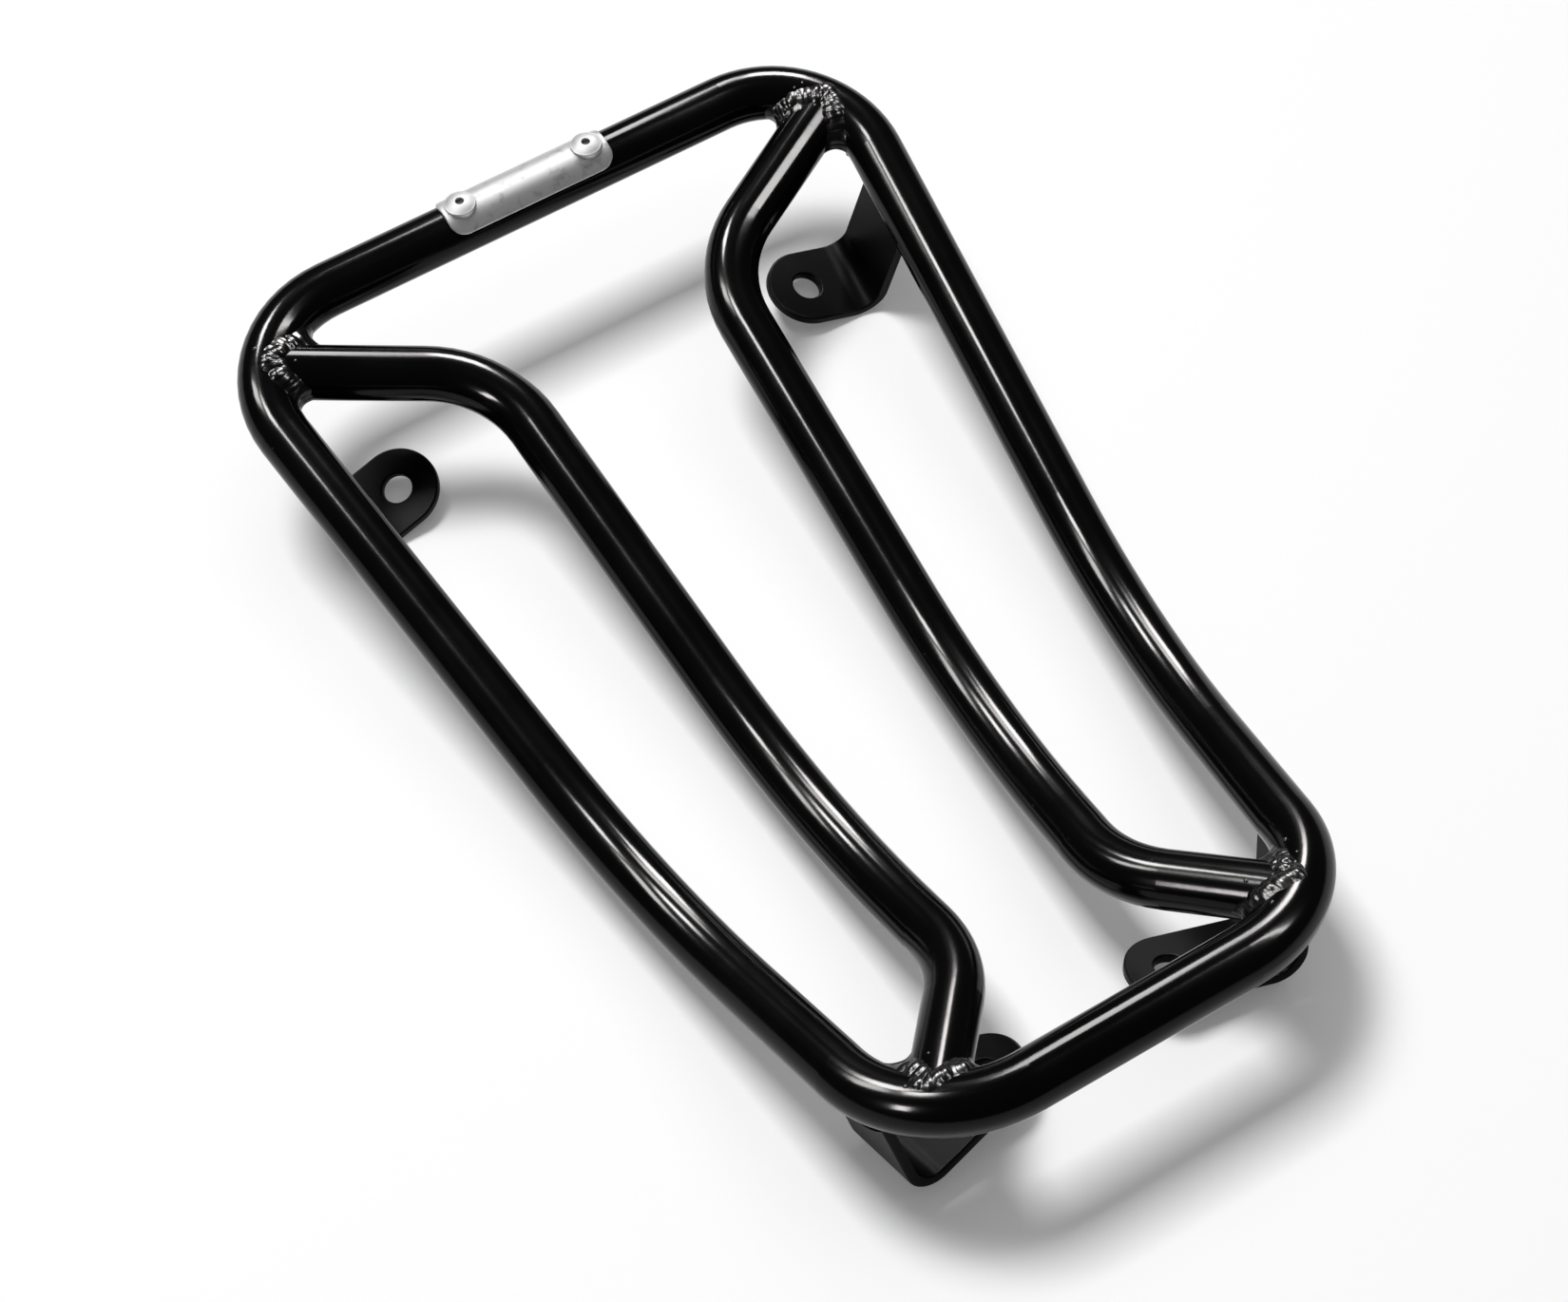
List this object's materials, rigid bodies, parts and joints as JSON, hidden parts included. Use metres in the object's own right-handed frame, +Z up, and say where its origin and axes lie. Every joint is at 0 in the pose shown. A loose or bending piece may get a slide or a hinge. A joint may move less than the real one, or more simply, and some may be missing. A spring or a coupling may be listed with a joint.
{
  "type": "scooter luggage rack",
  "caption": "Folded luggage rack of bent black tube: a closed tapered frame with inner rails on welded strip legs with bolt holes, and a bare badge plate on its wide end.",
  "frame": {"origin": "midway between the two end tubes, on the ground that the four legs stand on", "axes": "+Z up, +Y towards the wide end with the badge plate, X across the rack"},
  "size_m": [0.2136, 0.334, 0.0682],
  "materials": {
    "black_paint": "gloss",
    "badge_aluminium": "satin",
    "rivet_aluminium": "bright",
    "rivet_steel": "dull"
  },
  "bodies": {
    "root": {"outer_frame": "black_paint", "inner_rail_right": "black_paint", "inner_rail_left": "black_paint", "rail_weld_wide_right": "black_paint", "rail_weld_wide_left": "black_paint", "rail_weld_narrow_right": "black_paint", "rail_weld_narrow_left": "black_paint", "badge_plate": "badge_aluminium", "wide_leg_left": "black_paint", "wide_leg_right": "black_paint", "leg_weld_wide_left": "black_paint", "leg_weld_wide_right": "black_paint", "narrow_leg_left": "black_paint", "narrow_leg_right": "black_paint", "leg_weld_narrow_left": "black_paint", "leg_weld_narrow_right": "black_paint", "rivet_left": "rivet_aluminium", "rivet_stem_left": "rivet_steel", "rivet_right": "rivet_aluminium", "rivet_stem_right": "rivet_steel"}
  },
  "joints": []
}
